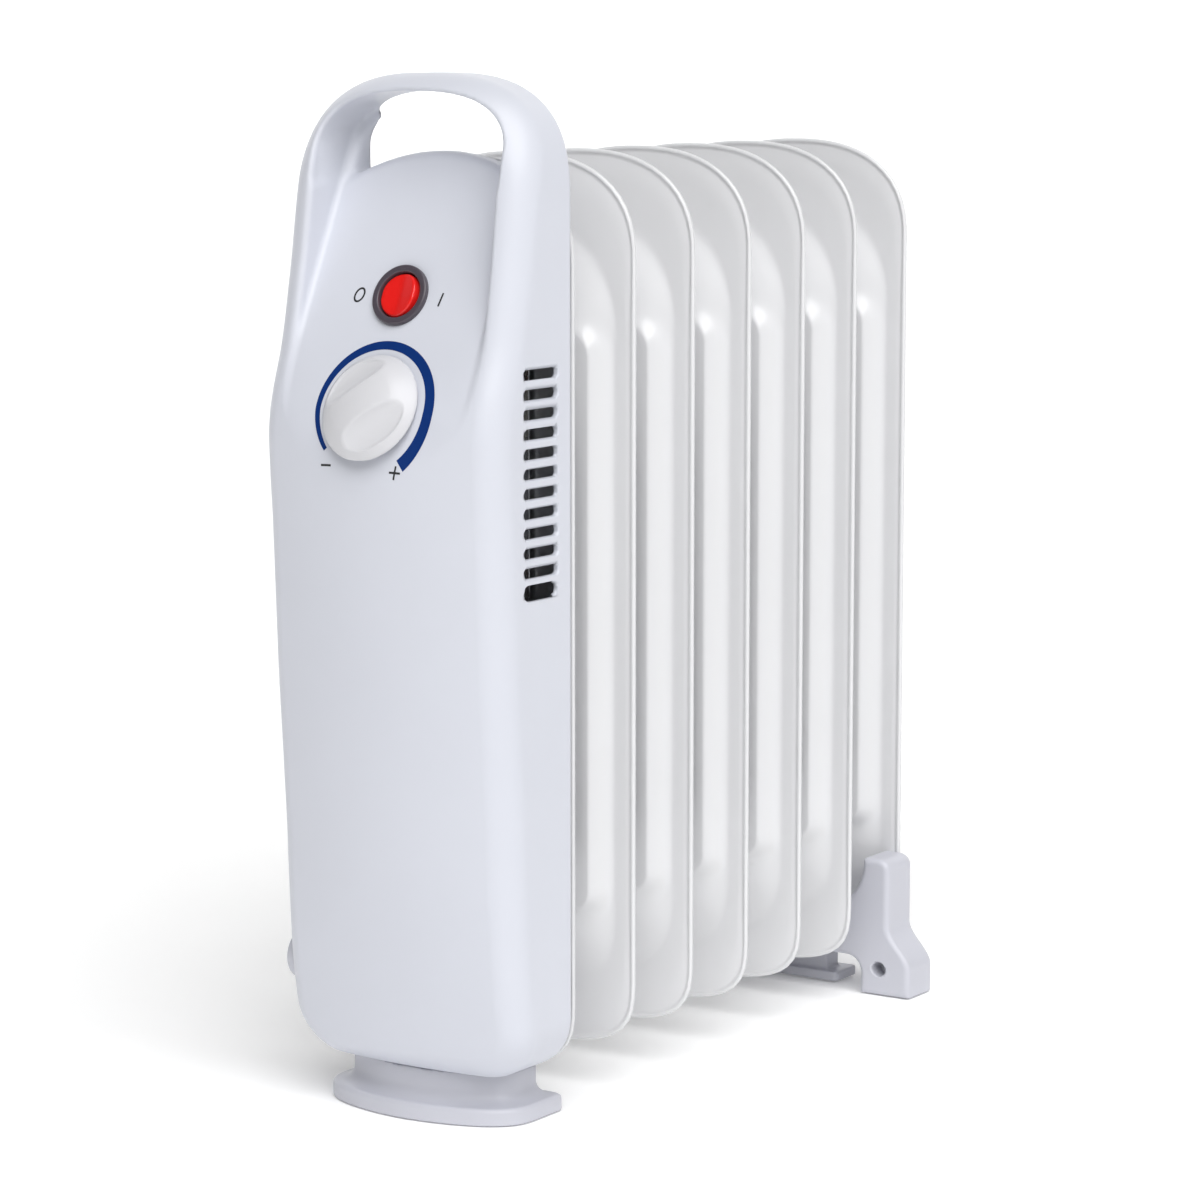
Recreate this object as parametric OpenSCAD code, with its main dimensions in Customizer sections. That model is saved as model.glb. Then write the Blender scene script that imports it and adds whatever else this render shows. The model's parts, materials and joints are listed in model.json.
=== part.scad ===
/* [Fins] */
// Distance from one fin to the next
fin_pitch = 40; // [38:0.5:42]
// Half the width of a fin
fin_half_w = 51; // [50:0.5:52]
// Height of a fin's top edge above the floor
fin_top_z = 348.4; // [340:0.2:348.4]
// Height of a fin's bottom edge above the floor
fin_bottom_z = 16.3; // [16:0.1:18]
// Thickness of the pressed steel sheet
sheet = 0.8; // [0.7:0.1:1]
// How far the oil pads stand out from a fin's middle plane
pad_out = 9; // [8.5:0.1:9]

/* [Housing] */
// Half the width of the control housing
housing_half_w = 52.3; // [52:0.1:54]
// Top of the handle above the floor
housing_top_z = 377.7; // [377:0.1:380]
// Wall thickness of the housing
wall = 2.4; // [2:0.1:2.6]
// Backward tilt of the control panel in degrees
panel_tilt = 25; // [24:0.5:26]
// Number of vent slots on each side
vent_count = 12; // [6:1:12]
// Distance from one vent slot to the next
vent_pitch = 7; // [6.5:0.1:7.1]

/* [Controls] */
// Radius of the thermostat knob
knob_r = 20.25; // [19:0.25:20.5]
// Height of the knob above the panel
knob_h = 9.4; // [9:0.1:10]
// Distance up the panel from the knob to the switch
switch_rise = 42.8; // [40:0.2:44]
// Radius of the switch bezel
bezel_r = 11.5; // [11:0.1:12]
// Angle each way that the rocker leans
rocker_lean = 10; // [8:1:10]

/* [Feet] */
// Half the width of the front foot's plate
front_foot_half_w = 43.5; // [42:0.5:45]
// Half the width of the rear foot at the floor
rear_foot_half_w = 67; // [64:0.5:70]

/* [Hidden] */

$fn = 48;
eps = 0.01;
fin_count = 7;
// The first fin's middle plane is local Y = 0; the whole part is then centred on the origin
front_reach = 63.5;
rear_reach = 10;
last_fin_y = fin_pitch * (fin_count - 1);
stack_y = (front_reach - last_fin_y - rear_reach) / 2;

// Colours
shell_white = [0.86, 0.87, 0.89];
enamel_white = [0.93, 0.93, 0.92];
foot_grey = [0.80, 0.80, 0.84];
steel = [0.70, 0.71, 0.73];
zinc = [0.76, 0.77, 0.78];
dark_plastic = [0.27, 0.26, 0.29];
lamp_red = [0.93, 0.16, 0.13];
ring_blue = [0.02, 0.20, 0.49];
ceramic_white = [0.92, 0.91, 0.86];
black_rubber = [0.12, 0.12, 0.12];

// Fin outline and pad outline
fin_spring_z = 310;
fin_crown_n = 2.4;
fin_foot_h = 28;
fin_foot_n = 3.6;
pad_side = 8;
pad_taper = 6;
pad_bottom_z = fin_bottom_z + 16.7;
pad_top_z = fin_top_z - 21.4;
pinch_half_w = 22;
pinch_low_z = 104;
pinch_high_z = 242;
port_r = 13;
collar_wall = 1.2;
upper_port_z = 298;
lower_port_z = 57;
plug_r = 5;
stud_r = 2;
stud_x = 32.5;
stud_z = [110, 230];
stud_len = 7;

// Housing section
housing_back_y = -3;
housing_bottom_z = 18;
crown_spring_z = 333;
crown_n = 2.7;
bottom_round = 18;
front_round = 14;
front_points = [[18, -38], [30, -42], [49, -45], [90, -50], [162, -55], [232, -58], [250, -58],
                [263, -52], [280, -44], [300, -38.8], [314, -36.6], [344, -32], [358, -28],
                [370, -25.5], [377.7, -23]];
bend_z = 280;
rail_inner = 40;
panel_z = 260.5;
panel_y = -51.9;
ledge_z = 349.8;
ledge_r = 75;
opening_half_w = 35.3;
opening_top_z = 367.6;
opening_n = 2.5;
vent_len = 20.4;
vent_h = 3.8;
vent_y = -22.3;
vent_top_z = 273.2;
boss_x = 46.2;
boss_z = [84, 180];
boss_r = 4.5;
boss_depth = 14;
screw_r = 1.6;
fit = 0.06;

// Control parts, measured from the panel surface along its normal
shaft_r = 3;
bush_r = 4.8;
knob_gap = 0.8;
knob_start = 212;
bezel_t = 1.6;
bezel_hole_r = 8.75;
barrel_r = 9.9;
rocker_r = 8.2;
rocker_round = 8.45;
pivot_h = -0.8;
pivot_r = 1.2;
face_h = 1.8;
ring_in_r = 22.4;
ring_t = 0.25;

// Inner stack in front of the first fin
plate_y = -pad_out;
plate_t = 1.2;
shield_y = -12;
shield_t = 0.6;
element_hole_r = 18.5;
cutout_x = 25;
cutout_z = 296;
cutout_r = 7;
window_r = 8.5;
gland_y = -24;
gland_z = 52;
gland_r = 6.2;
cord_bore_r = 3.8;

// Feet
rear_foot_front_y = last_fin_y - 20;
foot_screw_x = 52.8;
foot_screw_z = 11.3;
arch_z = 15.5;
arch_half_w = 44;
front_pads = [for (x = [-33, 33], y = [-20, -4]) [x, y, 0]];
rear_pad_x = 57;
skirt_z = 0.4;
pad_t = 2;
pad_r = 5;
pad_hole_r = 5.1;

// A closed round form along the top: quarter curves of |x/a|^n + |z/b|^n = 1
function power(v, n) = sign(v) * pow(abs(v), 2 / n);
function crown(a, b, n, z0, from = 0, to = 180, step = 7.5) =
    [for (t = [from : step : to]) [a * power(cos(t), n), z0 + b * power(sin(t), n)]];
function slab_outline(a, z_low, z_high, low_h, low_n, high_h, high_n) = concat(
    crown(a, high_h, high_n, z_high - high_h),
    crown(a, low_h, low_n, z_low + low_h, 180, 360));

function fin_outline(grow = 0) = slab_outline(fin_half_w + grow, fin_bottom_z - grow,
    fin_top_z + grow, fin_foot_h, fin_foot_n, fin_top_z - fin_spring_z, fin_crown_n);
function pad_outline(grow = 0) = slab_outline(fin_half_w - pad_side + grow, pad_bottom_z - grow,
    pad_top_z + grow, 26, 2.6, 34, 2.4);

// Linear interpolation of the housing's front face over its height
function front_y(z) = lookup(z, front_points);
function crown_w(z, a, z0, top, n) =
    z <= z0 ? a : a * pow(max(0, 1 - pow((z - z0) / (top - z0), n)), 1 / n);
function bottom_w(z, a, low, r) =
    z >= low + r ? a : a - r + sqrt(max(0, r * r - pow(low + r - z, 2)));
function housing_w(z, inset = 0) = min(
    crown_w(z, housing_half_w - inset, crown_spring_z, housing_top_z - inset, crown_n),
    bottom_w(z, housing_half_w - inset, housing_bottom_z + inset, bottom_round));

module shift_stack() {
    translate([0, stack_y, 0]) children();
}

// Stand a flat outline drawn in X and Z upright, from y_back to y_front, y_back being larger
module upright(y_back, y_front) {
    translate([0, y_back, 0]) rotate([90, 0, 0]) linear_extrude(y_back - y_front) children();
}

// Put children in the panel's frame: X across, Y up the panel, Z out of it, origin at the knob
module on_panel() {
    translate([0, panel_y, panel_z]) rotate([90 - panel_tilt, 0, 0]) children();
}

module along_y(r, y_back, y_front) {
    translate([0, y_back, 0]) rotate([90, 0, 0]) cylinder(r = r, h = y_back - y_front);
}

// ---------- housing ----------

// One level of the housing: a thin plate with rounded front corners
module housing_level(z, inset, back) {
    w = max(1, housing_w(z, inset));
    y = front_y(z) + inset;
    r = min(front_round, w * 0.6, (back - y) * 0.6);
    translate([0, 0, z]) linear_extrude(eps) polygon(concat(
        [[w, back], [-w, back]],
        [for (t = [180 : 15 : 270]) [-w + r + r * cos(t), y + r + r * sin(t)]],
        [for (t = [270 : 15 : 360]) [w - r + r * cos(t), y + r + r * sin(t)]]));
}

module housing_form(inset, back, low, high) {
    below = concat(
        [for (f = [0, 0.08, 0.25, 0.5, 0.75, 1]) low + f * bottom_round],
        [49, 90, 162, 232, 250, 263, bend_z]);
    above = concat(
        [bend_z, 300, 314],
        [for (f = [0, 0.35, 0.6, 0.8, 0.92, 1]) crown_spring_z + f * (high - crown_spring_z)]);
    for (levels = [below, above]) hull() for (z = levels) housing_level(z, inset, back);
}

function opening_outline(a) = concat(
    crown(a, opening_top_z - ledge_z, opening_n, ledge_z),
    [for (x = [-a : a / 8 : a]) [x, ledge_z - ledge_r + sqrt(ledge_r * ledge_r - x * x)]]);

module vent_slot() {
    r = vent_h / 2;
    square([vent_len - vent_h, vent_h], center = true);
    for (s = [-1, 1]) translate([s * (vent_len / 2 - r), 0]) circle(r, $fn = 24);
}

module recess() {
    reach = 60;
    intersection() {
        on_panel() translate([-rail_inner, -60, 0]) cube([2 * rail_inner, 200, reach]);
        upright(0, -80) polygon(concat(
            crown(rail_inner, opening_top_z - ledge_z, opening_n, ledge_z),
            [[-rail_inner, 200], [rail_inner, 200]]));
    }
}

module housing() {
    color(shell_white) shift_stack() difference() {
        union() {
            difference() {
                housing_form(0, housing_back_y, housing_bottom_z, housing_top_z);
                difference() {
                    housing_form(wall, housing_back_y + 1, housing_bottom_z + wall,
                                 housing_top_z - wall);
                    on_panel() translate([-60, -60, -wall]) cube([120, 200, 60]);
                    translate([-60, -60, ledge_z - 14]) cube([120, 60, 50]);
                }
                // The space behind the front wall below the panel stays open
                intersection() {
                    housing_form(wall, housing_back_y + 1, housing_bottom_z + wall,
                                 housing_top_z - wall);
                    difference() {
                        translate([-60, -60, 0]) cube([120, 60, ledge_z - 14]);
                        on_panel() translate([-rail_inner - wall, -60, -wall])
                            cube([2 * (rail_inner + wall), 200, 60]);
                    }
                }
            }
            for (s = [-1, 1], z = boss_z) translate([s * boss_x, 0, z])
                along_y(boss_r, plate_y - plate_t, plate_y - plate_t - boss_depth);
            for (s = [-1, 1]) translate([s * 20, -18, housing_bottom_z + 1])
                cylinder(r = 4.5, h = 12);
        }
        recess();
        upright(5, -60) polygon(opening_outline(opening_half_w));
        for (k = [0 : vent_count - 1]) translate([-80, vent_y, vent_top_z - k * vent_pitch])
            rotate([90, 0, 90]) linear_extrude(160) vent_slot();
        on_panel() translate([0, 0, -10]) cylinder(r = bush_r + 0.2, h = 20);
        on_panel() translate([0, switch_rise, -10]) cylinder(r = barrel_r + 0.1, h = 20);
        for (s = [-1, 1], z = boss_z) translate([s * boss_x, 0, z])
            along_y(screw_r + 0.05, 0, plate_y - plate_t - boss_depth + 2);
        for (s = [-1, 1]) translate([s * 20, -18, 0]) cylinder(r = 2.05, h = 28);
        translate([-housing_half_w - 5, gland_y, gland_z]) rotate([0, 90, 0])
            cylinder(r = gland_r + 0.1, h = 12);
    }
}

module housing_screws() {
    color(zinc) shift_stack() for (s = [-1, 1], z = boss_z) translate([s * boss_x, 0, z]) {
        along_y(screw_r, plate_y, plate_y - plate_t - 11);
        along_y(3.2, plate_y + 1.8, plate_y);
    }
}

// ---------- plates in front of the first fin ----------

module stack_outline(a, low, high) {
    translate([-a, low]) square([2 * a, high - low]);
}

module plate_holes(stud_hole_r) {
    for (s = [-1, 1], z = stud_z) translate([s * stud_x, z]) circle(stud_hole_r);
    translate([0, lower_port_z]) circle(element_hole_r);
    translate([cutout_x, cutout_z]) circle(window_r);
}

module mounting_plate() {
    color(zinc) shift_stack() upright(plate_y, plate_y - plate_t) difference() {
        stack_outline(49, 34, 320);
        plate_holes(stud_r + 0.1);
        for (s = [-1, 1], z = boss_z) translate([s * boss_x, z]) circle(screw_r + 0.1);
    }
}

module heat_shield() {
    color([0.82, 0.83, 0.84]) shift_stack() upright(shield_y, shield_y - shield_t) difference() {
        stack_outline(40, 36, 318);
        plate_holes(stud_r + 0.1);
    }
}

module stud_spacers() {
    color(steel) shift_stack() for (s = [-1, 1], z = stud_z) translate([s * stud_x, 0, z])
        difference() {
            along_y(4, plate_y - plate_t, shield_y);
            along_y(stud_r + 0.1, 0, -30);
        }
}

module stud_nuts() {
    nut_y = shield_y - shield_t;
    color(zinc) shift_stack() for (s = [-1, 1], z = stud_z) translate([s * stud_x, 0, z])
        difference() {
            translate([0, nut_y, 0]) rotate([90, 0, 0]) cylinder(r = 4, h = 2.6, $fn = 6);
            along_y(stud_r + 0.05, 0, -30);
        }
}

// ---------- thermostat ----------

// The knob's side view: half outline from the rim to the crown
module knob_profile() {
    h = knob_h;
    r = knob_r;
    polygon([[0, knob_gap], [r, knob_gap], [r, 2.4], [r - 0.4, 3.2], [r - 1.2, 3.9], [r - 2.6, 4.6],
             [r - 4.6, 5.5], [r - 7, 6.4], [r - 10, 7.5], [r - 14, h - 0.8], [0, h]]);
}

module knob() {
    scoop_r = 14;
    scoop_floor = 4.2;
    color([0.95, 0.95, 0.95]) shift_stack() on_panel() rotate([0, 0, knob_start]) difference() {
        rotate_extrude($fn = 72) knob_profile();
        for (s = [-1, 1]) intersection() {
            translate([-40, s * (4 + scoop_r), scoop_floor + scoop_r]) rotate([0, 90, 0])
                cylinder(r = scoop_r, h = 80);
            cylinder(r = knob_r - 3, h = 40);
        }
        cylinder(r = knob_r - 5.5, h = 2.6);
        cylinder(r = shaft_r + 0.02, h = 7.2);
    }
}

module thermostat_shaft() {
    color(steel) shift_stack() on_panel() translate([0, 0, -12]) cylinder(r = shaft_r, h = 19);
}

module thermostat_body() {
    depth = 16;
    color([0.85, 0.80, 0.70]) shift_stack() on_panel() difference() {
        union() {
            translate([-16, -13, -wall - depth]) cube([32, 28, depth - 0.2]);
            translate([0, 0, -5]) cylinder(r = bush_r, h = 7.1);
            for (s = [-1, 1]) translate([s * 10 - 2.4, -4, -wall - depth - 5]) cube([4.8, 0.8, 6]);
        }
        translate([0, 0, -13]) cylinder(r = shaft_r + fit, h = 30);
    }
}

module thermostat_nut() {
    color(zinc) shift_stack() on_panel() difference() {
        cylinder(r = 8, h = 2.2, $fn = 6);
        translate([0, 0, -1]) cylinder(r = bush_r + 0.05, h = 5);
    }
}

// A crescent that grows from the lowest setting to the highest one
module dial_ring() {
    color(ring_blue) shift_stack() on_panel() translate([0, 0, 0.02]) linear_extrude(ring_t)
        difference() {
            intersection() {
                translate([1.3, 0.2]) circle(ring_in_r + 2.7, $fn = 72);
                polygon([[0, 0], 40 * [cos(-51), sin(-51)], [60, 0], [60, 60], [-60, 60], [-60, 0],
                         40 * [cos(221), sin(221)]]);
            }
            circle(ring_in_r, $fn = 72);
        }
}

// ---------- rocker switch ----------

module on_switch() {
    shift_stack() on_panel() translate([0, switch_rise, 0]) children();
}

module pivot_axis(r, half_len) {
    translate([0, half_len, pivot_h]) rotate([90, 0, 0]) cylinder(r = r, h = 2 * half_len);
}

module switch_bezel() {
    color(dark_plastic) on_switch() difference() {
        union() {
            rotate_extrude($fn = 72) polygon([[0, 0], [bezel_r, 0], [bezel_r, 0.6],
                [bezel_r - 0.9, bezel_t], [0, bezel_t]]);
            translate([0, 0, -9]) cylinder(r = barrel_r, h = 9.5);
        }
        translate([0, 0, -20]) cylinder(r = bezel_hole_r, h = 40);
        pivot_axis(pivot_r + fit, barrel_r - 0.3);
    }
}

module switch_body() {
    color(dark_plastic) on_switch() {
        translate([0, 0, -16]) cylinder(r = barrel_r, h = 7);
        for (x = [-5, 0, 5]) translate([x - 0.4, -2.4, -20]) cube([0.8, 4.8, 4.2]);
    }
}

// The rocker's two faces meet in a shallow valley over the pivot
module rocker() {
    color(lamp_red) on_switch() translate([0, 0, pivot_h]) rotate([0, -rocker_lean, 0])
        translate([0, 0, -pivot_h]) difference() {
            union() {
                intersection() {
                    translate([0, 0, pivot_h - 3]) cylinder(r = rocker_r, h = 12);
                    pivot_axis(rocker_round, 12);
                }
                pivot_axis(pivot_r, barrel_r - 0.6);
            }
            for (s = [-1, 1]) translate([0, 0, pivot_h]) rotate([0, -s * rocker_lean, 0])
                translate([s > 0 ? 0 : -20, -15, face_h / cos(rocker_lean)]) cube([20, 30, 20]);
            translate([0, 0, pivot_h - 6]) cylinder(r = 2.2, h = 5);
        }
}

module pilot_lamp() {
    color([1, 0.6, 0.3]) on_switch() translate([0, 0, pivot_h]) rotate([0, -rocker_lean, 0])
        translate([0, 0, -4.8]) cylinder(r = 2, h = 3.8);
}

// ---------- safety cut-out, terminals and wires ----------

module thermal_cutout() {
    color([0.20, 0.20, 0.22]) shift_stack() translate([cutout_x, 0, cutout_z]) {
        along_y(cutout_r, plate_y, plate_y - 7);
        for (s = [-1, 1]) translate([s * 4 - 1.5, plate_y - 10, -0.4]) cube([3, 3.2, 0.8]);
    }
}

module cutout_clip() {
    y = plate_y - 7;
    color(zinc) shift_stack() translate([cutout_x, 0, cutout_z]) difference() {
        union() {
            translate([-2.5, y - 0.8, -14]) cube([5, 0.8, 28]);
            for (s = [-1, 1]) translate([-2.5, y, s > 0 ? 13.2 : -14])
                cube([5, shield_y - shield_t - y, 0.8]);
        }
        translate([-1.5, y - 2, -2]) cube([3, 4, 4]);
    }
}

module terminal_block() {
    front = shield_y - shield_t;
    color(ceramic_white) shift_stack() difference() {
        translate([-18, front - 14, 140]) cube([36, 14, 18]);
        for (x = [-12, 0, 12]) translate([x, 0, 149]) along_y(3, front - 6, front - 20);
        for (x = [-12, 0, 12]) translate([x, front - 5, 130]) cylinder(r = 2, h = 40);
    }
}

module earth_screw() {
    front = shield_y - shield_t;
    color([0.80, 0.70, 0.40]) shift_stack() translate([22, 0, 96]) {
        along_y(2, front, front - 5);
        along_y(4.2, front - 5, front - 7.4);
        along_y(6, front - 1, front - 2);
    }
}

// A wire as straight runs with round joints
module wire(points, r = 1.3) {
    for (i = [0 : len(points) - 2]) {
        v = points[i + 1] - points[i];
        translate(points[i]) rotate([0, acos(v[2] / norm(v)), atan2(v[1], v[0])])
            cylinder(r = r, h = norm(v), $fn = 16);
    }
    for (i = [1 : len(points) - 2]) translate(points[i]) sphere(r + 0.1, $fn = 16);
}

module wire_live() {
    color([0.45, 0.25, 0.15]) shift_stack() {
        wire([[-12, -17.6, 159], [-12, -24, 176], [-26, -28, 210], [-26, -24, 260], [-5, -17, 284]]);
        wire([[10, -29, 246], [26, -24, 256], [36, -20, 276], [29, -20.6, 296]]);
        wire([[21, -20.6, 296], [15, -24, 262], [34, -26, 180], [30, -27, 100], [8.1, -27, 59]]);
    }
}

module wire_neutral() {
    color([0.15, 0.30, 0.65]) shift_stack() {
        wire([[0, -17.6, 139], [0, -24, 124], [-14, -28, 90], [-8.25, -27, 59]]);
    }
}

module wire_earth() {
    color([0.35, 0.65, 0.20]) shift_stack()
        wire([[12, -17.6, 139], [12, -22, 124], [22, -22, 112], [22, -15.8, 102]]);
}

module cord_gland() {
    color(black_rubber) shift_stack() translate([-housing_half_w, gland_y, gland_z])
        rotate([0, 90, 0]) difference() {
            union() {
                translate([0, 0, -3]) cylinder(r = 9, h = 3);
                translate([0, 0, -eps]) cylinder(r = gland_r, h = 12);
            }
            translate([0, 0, -10]) cylinder(r = cord_bore_r, h = 30);
        }
}

module gland_nut() {
    color([0.9, 0.9, 0.88]) shift_stack() translate([-housing_half_w + wall, gland_y, gland_z])
        rotate([0, 90, 0]) difference() {
            translate([0, 0, 0.5]) cylinder(r = 8.6, h = 4, $fn = 6);
            translate([0, 0, -1]) cylinder(r = gland_r + 0.05, h = 8);
        }
}

// ---------- heating element ----------

module heating_element() {
    leg_x = 6.5;
    tube_r = 4;
    far_y = fin_pitch * 5 + 8;
    color([0.45, 0.44, 0.43]) shift_stack() translate([0, 0, lower_port_z]) {
        for (s = [-1, 1]) translate([s * leg_x, 0, 0]) along_y(tube_r, far_y, -15);
        translate([0, far_y, 0]) rotate_extrude(angle = 180) translate([leg_x, 0])
            circle(tube_r);
    }
}

module element_flange() {
    front = plate_y - 1.5;
    color([0.80, 0.68, 0.42]) shift_stack() translate([0, 0, lower_port_z]) difference() {
        union() {
            along_y(port_r - 0.1, plate_y + 1.2, front);
            along_y(17, front, front - 3);
            translate([0, front - 3, 0]) rotate([90, 0, 0]) cylinder(r = 14, h = 4, $fn = 6);
        }
        for (s = [-1, 1]) translate([s * 6.5, 0, 0]) along_y(4.02, 10, -40);
    }
}

module element_gasket() {
    color(black_rubber) shift_stack() translate([0, 0, lower_port_z]) difference() {
        along_y(17, plate_y, plate_y - 1.5);
        along_y(port_r, 5, -30);
    }
}

module element_terminals() {
    color(ceramic_white) shift_stack() translate([0, 0, lower_port_z])
        for (s = [-1, 1]) translate([s * 6.5, 0, 0]) {
            along_y(4.6, -17.5, -22);
            translate([-0.4, -30, -3]) cube([0.8, 8.2, 6]);
        }
}

// ---------- fins ----------

// A raised pad: its outline shrinks by pad_taper towards the outside
module pad_form(grow, from, out) {
    outline = pad_outline(grow);
    mid = (pad_bottom_z + pad_top_z) / 2;
    half_h = (pad_top_z - pad_bottom_z) / 2 + grow;
    half_w = fin_half_w - pad_side + grow;
    translate([0, -from, mid]) rotate([90, 0, 0])
        linear_extrude(out - from, slices = 1, scale = [1 - pad_taper / half_w, 1 - pad_taper / half_h])
            translate([0, -mid]) polygon(outline);
}

// The pinched middle of a fin, wider at the outside
module pinch_form(grow, from, out) {
    half_w = pinch_half_w + grow;
    half_h = (pinch_high_z - pinch_low_z) / 2 + half_w;
    mid = (pinch_high_z + pinch_low_z) / 2;
    translate([0, -from, mid]) rotate([90, 0, 0])
        linear_extrude(out - from, slices = 1, scale = [1 + 5 / half_w, 1 + 5 / half_h])
            polygon(concat(
                [for (t = [0 : 15 : 180]) [half_w * cos(t), half_h - half_w + half_w * sin(t)]],
                [for (t = [180 : 15 : 360]) [half_w * cos(t), half_w - half_h + half_w * sin(t)]]));
}

// One pressed half of a fin, with its outside towards -Y
module fin_half(upper_r, lower_r, studs) {
    difference() {
        union() {
            upright(0, -sheet) polygon(fin_outline());
            difference() {
                pad_form(0, sheet / 2, pad_out);
                pinch_form(0, sheet, pad_out + 1);
            }
        }
        difference() {
            pad_form(-sheet, -eps, pad_out - sheet);
            pinch_form(sheet, -1, pad_out);
        }
        if (upper_r > 0) translate([0, 0, upper_port_z]) along_y(upper_r, 0, -30);
        if (lower_r > 0) translate([0, 0, lower_port_z]) along_y(lower_r, 0, -30);
    }
    if (studs) for (s = [-1, 1], z = stud_z) translate([s * stud_x, 0, z])
        along_y(stud_r, -pad_out, -pad_out - stud_len);
}

module fin_front(k) {
    color(enamel_white) shift_stack() translate([0, fin_pitch * (k - 1), 0])
        fin_half(k == 1 ? 0 : port_r, port_r, k == 1);
}

module fin_rear(k) {
    last = k == fin_count;
    color(enamel_white) shift_stack() translate([0, fin_pitch * (k - 1), 0])
        mirror([0, 1, 0]) fin_half(last ? plug_r : port_r, last ? 0 : port_r, false);
}

module collars(z) {
    color(enamel_white) shift_stack() translate([0, 0, z]) for (k = [0 : fin_count - 2])
        difference() {
            along_y(port_r + collar_wall, fin_pitch * (k + 1) - pad_out, fin_pitch * k + pad_out);
            along_y(port_r, fin_pitch * (k + 1), fin_pitch * k);
        }
}

module upper_collars() {
    collars(upper_port_z);
}

module lower_collars() {
    collars(lower_port_z);
}

module filler_plug() {
    color(zinc) shift_stack() translate([0, last_fin_y, upper_port_z]) {
        along_y(plug_r - 0.05, pad_out, pad_out - 2);
        along_y(8, pad_out + 0.6, pad_out);
    }
}

// ---------- front foot ----------

module front_plate_outline(grow = 0) {
    bow_r = 80;
    bow_y = 41.5;
    corner = 6;
    intersection() {
        union() {
            translate([-front_foot_half_w - grow + corner, -45]) square([2 * (front_foot_half_w
                + grow - corner), 49.5 + grow]);
            translate([-front_foot_half_w - grow, -45])
                square([2 * (front_foot_half_w + grow), 43.5 + grow]);
            for (s = [-1, 1]) translate([s * (front_foot_half_w + grow - corner), -1.5 + grow])
                circle(corner);
        }
        translate([0, bow_y]) circle(bow_r + grow, $fn = 96);
        translate([0, 4]) circle(50 + grow, $fn = 96);
    }
}

module front_foot() {
    neck_half_w = 36.5;
    color(foot_grey) shift_stack() difference() {
        union() {
            translate([0, 0, skirt_z]) linear_extrude(5.5 - skirt_z) front_plate_outline();
            translate([0, 0, 5.5]) linear_extrude(1.2) front_plate_outline(-1.2);
            translate([0, 0, 6]) linear_extrude(housing_bottom_z - 6) intersection() {
                translate([-neck_half_w, -32]) square([2 * neck_half_w, 31]);
                translate([0, 30.6]) circle(62.5, $fn = 96);
            }
        }
        for (s = [-1, 1]) translate([s * 20, -18, -1]) {
            cylinder(r = 2.1, h = 30);
            cylinder(r = 4.5, h = 11);
        }
        for (p = front_pads) translate(p) cylinder(r = pad_hole_r, h = pad_t);
    }
}

module front_foot_screws() {
    color(zinc) shift_stack() for (s = [-1, 1]) translate([s * 20, -18, 0]) {
        translate([0, 0, 10]) cylinder(r = 2, h = 17);
        translate([0, 0, 7.8]) cylinder(r = 4, h = 2.2);
    }
}

module front_foot_pads() {
    color(black_rubber) shift_stack() for (p = front_pads)
        translate(p) cylinder(r = pad_r, h = pad_t);
}

// ---------- rear foot ----------

// Half outline of a leg: straight upright above, flared toe below
module leg_outline(toe, top, side) {
    toe_h = 12;
    bend = toe - side;
    polygon(concat(
        [[-1, skirt_z], [toe, skirt_z], [toe, toe_h]],
        [for (t = [15 : 15 : 90]) [toe - bend * sin(t), toe_h + 18 * (1 - cos(t))]],
        [[side, top - 3], [side - 3, top], [-1, top]]));
}

module rear_foot_outline(toe, top, side) {
    difference() {
        for (s = [0, 1]) mirror([s, 0]) leg_outline(toe, top, side);
        polygon(pad_outline(1.6));
        // Space between the legs
        polygon(concat([[-arch_half_w, -1], [arch_half_w, -1]],
            [for (t = [0 : 15 : 90]) [arch_half_w - 7 + 7 * cos(t), arch_z - 7 + 7 * sin(t)]],
            [for (t = [90 : 15 : 180]) [-arch_half_w + 7 + 7 * cos(t), arch_z - 7 + 7 * sin(t)]]));
    }
}

module fin_pocket() {
    upright(last_fin_y + sheet, last_fin_y - sheet) polygon(fin_outline(0.3));
}

module rear_foot_front() {
    color(foot_grey) shift_stack() difference() {
        upright(last_fin_y, rear_foot_front_y) rear_foot_outline(rear_foot_half_w, 57, 57);
        fin_pocket();
        for (s = [-1, 1]) translate([s * foot_screw_x, 0, foot_screw_z]) {
            along_y(1.9, 300, 100);
            along_y(3, rear_foot_front_y + 9, 100);
        }
        for (s = [-1, 1]) translate([s * rear_pad_x, last_fin_y - 10, 0])
            cylinder(r = pad_hole_r, h = pad_t);
    }
}

module rear_foot_back() {
    color(foot_grey) shift_stack() difference() {
        upright(last_fin_y + rear_reach, last_fin_y) rear_foot_outline(57, 54, 49.5);
        fin_pocket();
        for (s = [-1, 1]) translate([s * foot_screw_x, 0, foot_screw_z])
            along_y(1.65, last_fin_y + 8, 100);
    }
}

module rear_foot_screws() {
    color(zinc) shift_stack() for (s = [-1, 1]) translate([s * foot_screw_x, 0, foot_screw_z]) {
        along_y(1.6, last_fin_y + 7, rear_foot_front_y + 9);
        along_y(2.9, rear_foot_front_y + 9, rear_foot_front_y + 7);
    }
}

module rear_foot_pads() {
    color(black_rubber) shift_stack() for (s = [-1, 1])
        translate([s * rear_pad_x, last_fin_y - 10, 0]) cylinder(r = pad_r, h = pad_t);
}

// Bracket under the rear foot that the cord is wound round for storage
module cord_hook() {
    color(foot_grey) shift_stack() {
        translate([-28, last_fin_y - 11, 1]) cube([56, 17, 4]);
        translate([-22, last_fin_y - 8.5, 5]) cube([44, 9.5, arch_z - 5]);
    }
}

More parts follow.
